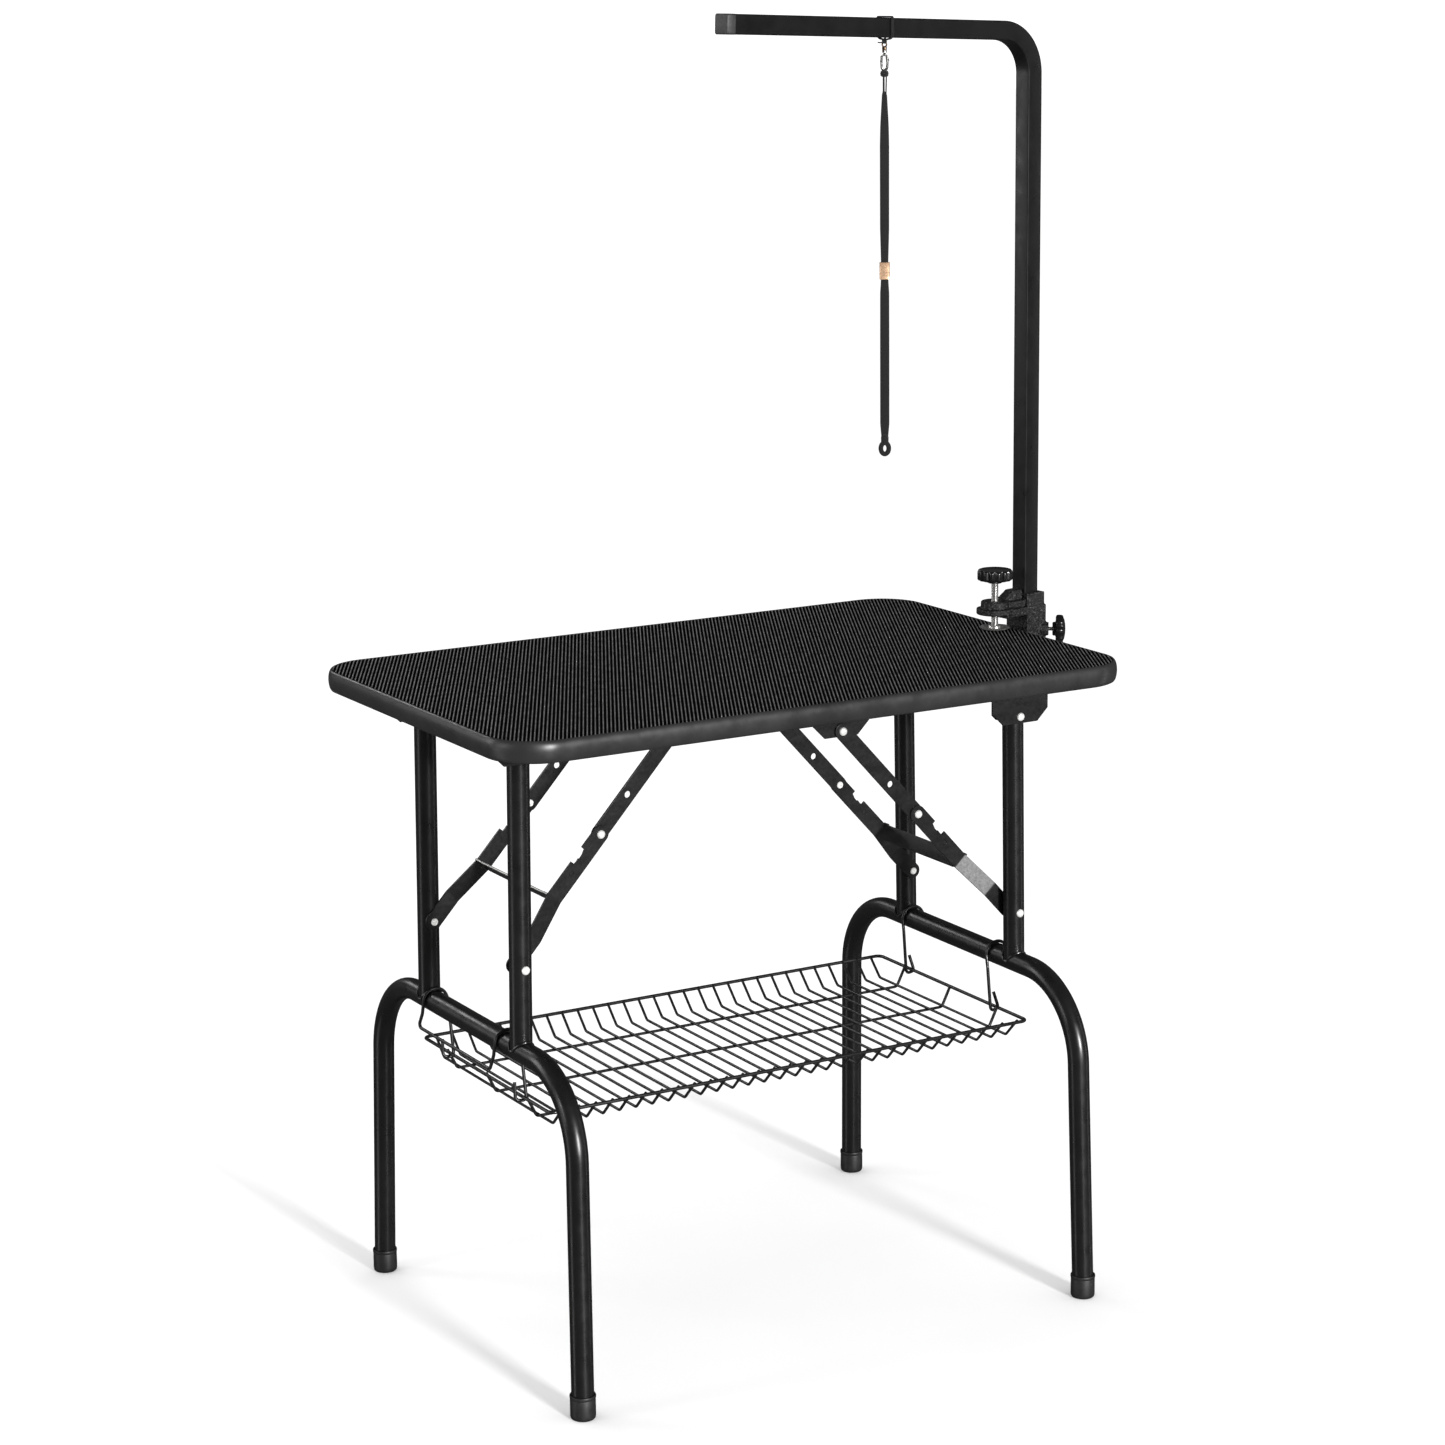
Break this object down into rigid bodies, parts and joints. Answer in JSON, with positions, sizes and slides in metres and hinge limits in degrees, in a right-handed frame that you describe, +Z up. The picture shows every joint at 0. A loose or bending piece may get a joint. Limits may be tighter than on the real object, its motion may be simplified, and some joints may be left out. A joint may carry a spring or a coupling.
{
  "type": "grooming table",
  "caption": "Folding dog grooming table with a ribbed top, bent-tube folding legs, wire basket, clamp-on arm and hanging noose.",
  "frame": {"origin": "floor level, at the centre of the overall box", "axes": "+Z up, X along the tabletop with the arm at +X, +Y away from the usual viewing side"},
  "size_m": [0.8852, 0.549, 1.5077],
  "materials": {
    "plywood": "black-faced plywood core, hidden by the mat and trim",
    "mat_rubber": "matte black ribbed rubber",
    "edge_trim": "matte charcoal plastic edging",
    "gloss_powder_coat": "gloss black powder coat",
    "arm_powder_coat": "satin black powder coat",
    "satin_strap_steel": "satin black paint on strap steel",
    "crinkle_casting": "black crinkle paint on a casting",
    "zinc_rivet": "bright zinc plate",
    "chrome_steel": "polished chrome plate",
    "knob_plastic": "gloss black moulded plastic",
    "cap_plastic": "grey-black moulded plastic",
    "foot_rubber": "matte black rubber",
    "coated_wire": "black plastic-dipped wire",
    "nylon": "black woven nylon webbing",
    "copper_slider": "polished copper-coloured plate"
  },
  "bodies": {
    "tabletop": {"tabletop_board": "plywood", "tabletop_mat": "mat_rubber", "edge_trim": "edge_trim", "clamp_body": "crinkle_casting", "left_front_leg_bracket": "satin_strap_steel", "left_front_brace_bracket": "satin_strap_steel", "left_front_leg_pivot_rivet": "zinc_rivet", "left_front_brace_pivot_rivet": "zinc_rivet", "left_back_leg_bracket": "satin_strap_steel", "left_back_brace_bracket": "satin_strap_steel", "left_back_leg_pivot_rivet": "zinc_rivet", "left_back_brace_pivot_rivet": "zinc_rivet", "right_front_leg_bracket": "satin_strap_steel", "right_front_brace_bracket": "satin_strap_steel", "right_front_leg_pivot_rivet": "zinc_rivet", "right_front_brace_pivot_rivet": "zinc_rivet", "right_back_leg_bracket": "satin_strap_steel", "right_back_brace_bracket": "satin_strap_steel", "right_back_leg_pivot_rivet": "zinc_rivet", "right_back_brace_pivot_rivet": "zinc_rivet"},
    "left_leg": {"left_leg_bow": "gloss_powder_coat", "left_basket_hanger": "coated_wire", "left_front_upright": "gloss_powder_coat", "left_front_brace_foot_rivet": "zinc_rivet", "left_front_foot": "foot_rubber", "left_back_upright": "gloss_powder_coat", "left_back_brace_foot_rivet": "zinc_rivet", "left_back_foot": "foot_rubber"},
    "left_upper_brace": {"left_front_upper_link": "satin_strap_steel", "left_back_upper_link": "satin_strap_steel"},
    "left_lower_brace": {"left_lower_brace": "satin_strap_steel", "left_front_elbow_rivet": "zinc_rivet", "left_back_elbow_rivet": "zinc_rivet"},
    "right_leg": {"right_leg_bow": "gloss_powder_coat", "right_basket_hanger": "coated_wire", "right_front_upright": "gloss_powder_coat", "right_front_brace_foot_rivet": "zinc_rivet", "right_front_foot": "foot_rubber", "right_back_upright": "gloss_powder_coat", "right_back_brace_foot_rivet": "zinc_rivet", "right_back_foot": "foot_rubber"},
    "right_upper_brace": {"right_front_upper_link": "satin_strap_steel", "right_back_upper_link": "satin_strap_steel"},
    "right_lower_brace": {"right_lower_brace": "satin_strap_steel", "right_front_elbow_rivet": "zinc_rivet", "right_back_elbow_rivet": "zinc_rivet"},
    "basket": {"basket_tray": "coated_wire"},
    "clamp_pad": {"clamp_pad": "chrome_steel"},
    "clamp_spindle": {"clamp_screw": "chrome_steel", "clamp_knob": "knob_plastic"},
    "arm_lock": {"arm_lock_screw": "chrome_steel", "arm_lock_knob": "knob_plastic"},
    "arm": {"arm_tube": "arm_powder_coat", "arm_end_cap": "cap_plastic", "noose_tie": "nylon"},
    "noose": {"noose_hook": "zinc_rivet", "noose_strap": "nylon"},
    "noose_slider": {"noose_slider": "copper_slider"}
  },
  "joints": [
    {"name": "left_leg_fold", "type": "hinge", "parent": "tabletop", "child": "left_leg", "pos_m": [-0.3641, 0, 0.721], "axis": [0, -1, 0], "range_deg": [0, 90.8]},
    {"name": "left_upper_brace_turn", "type": "hinge", "parent": "tabletop", "child": "left_upper_brace", "pos_m": [-0.1461, 0, 0.721], "axis": [0, -1, 0], "range_deg": [-47.55, 0]},
    {"name": "left_lower_brace_turn", "type": "hinge", "parent": "left_leg", "child": "left_lower_brace", "pos_m": [-0.36748, 0, 0.47902], "axis": [0, -1, 0], "range_deg": [0, 41.66]},
    {"name": "right_leg_fold", "type": "hinge", "parent": "tabletop", "child": "right_leg", "pos_m": [0.2919, 0, 0.687], "axis": [0, 1, 0], "range_deg": [0, 90.8]},
    {"name": "right_upper_brace_turn", "type": "hinge", "parent": "tabletop", "child": "right_upper_brace", "pos_m": [0.0739, 0, 0.687], "axis": [0, 1, 0], "range_deg": [-47.55, 0]},
    {"name": "right_lower_brace_turn", "type": "hinge", "parent": "right_leg", "child": "right_lower_brace", "pos_m": [0.29528, 0, 0.44502], "axis": [0, 1, 0], "range_deg": [0, 41.66]},
    {"name": "basket_lift", "type": "slide", "parent": "tabletop", "child": "basket", "axis": [0, 0, 1], "range_m": [0, 0.02]},
    {"name": "clamp_pad_lift", "type": "slide", "parent": "tabletop", "child": "clamp_pad", "axis": [0, 0, 1], "range_m": [0, 0.0085]},
    {"name": "clamp_screw_turn", "type": "hinge", "parent": "clamp_pad", "child": "clamp_spindle", "pos_m": [0.34402, -0.0039, 0.8], "axis": [0, 0, 1], "range_deg": [0, 1531]},
    {"name": "arm_lock_turn", "type": "hinge", "parent": "tabletop", "child": "arm_lock", "pos_m": [0.3939, 0.004, 0.76], "axis": [0.809, -0.5878, 0], "range_deg": [0, 720]},
    {"name": "arm_height", "type": "slide", "parent": "tabletop", "child": "arm", "axis": [0, 0, 1], "range_m": [-0.2, 0.04]},
    {"name": "noose_swing", "type": "hinge", "parent": "arm", "child": "noose", "pos_m": [0.16772, -0.03182, 1.462], "axis": [0.9877, 0.1564, 0], "range_deg": [-75, 75]},
    {"name": "noose_slider_travel", "type": "slide", "parent": "noose", "child": "noose_slider", "axis": [0, 0, 1], "range_m": [-0.17, 0.14]}
  ],
  "couplings": [
    {"joint": "left_upper_brace_turn", "follows": "left_leg_fold", "ratio": -0.52363},
    {"joint": "left_lower_brace_turn", "follows": "left_leg_fold", "ratio": 0.45875},
    {"joint": "right_upper_brace_turn", "follows": "right_leg_fold", "ratio": -0.52363},
    {"joint": "right_lower_brace_turn", "follows": "right_leg_fold", "ratio": 0.45875},
    {"joint": "clamp_screw_turn", "follows": "clamp_pad_lift", "rad_per_m": 3141.6}
  ]
}
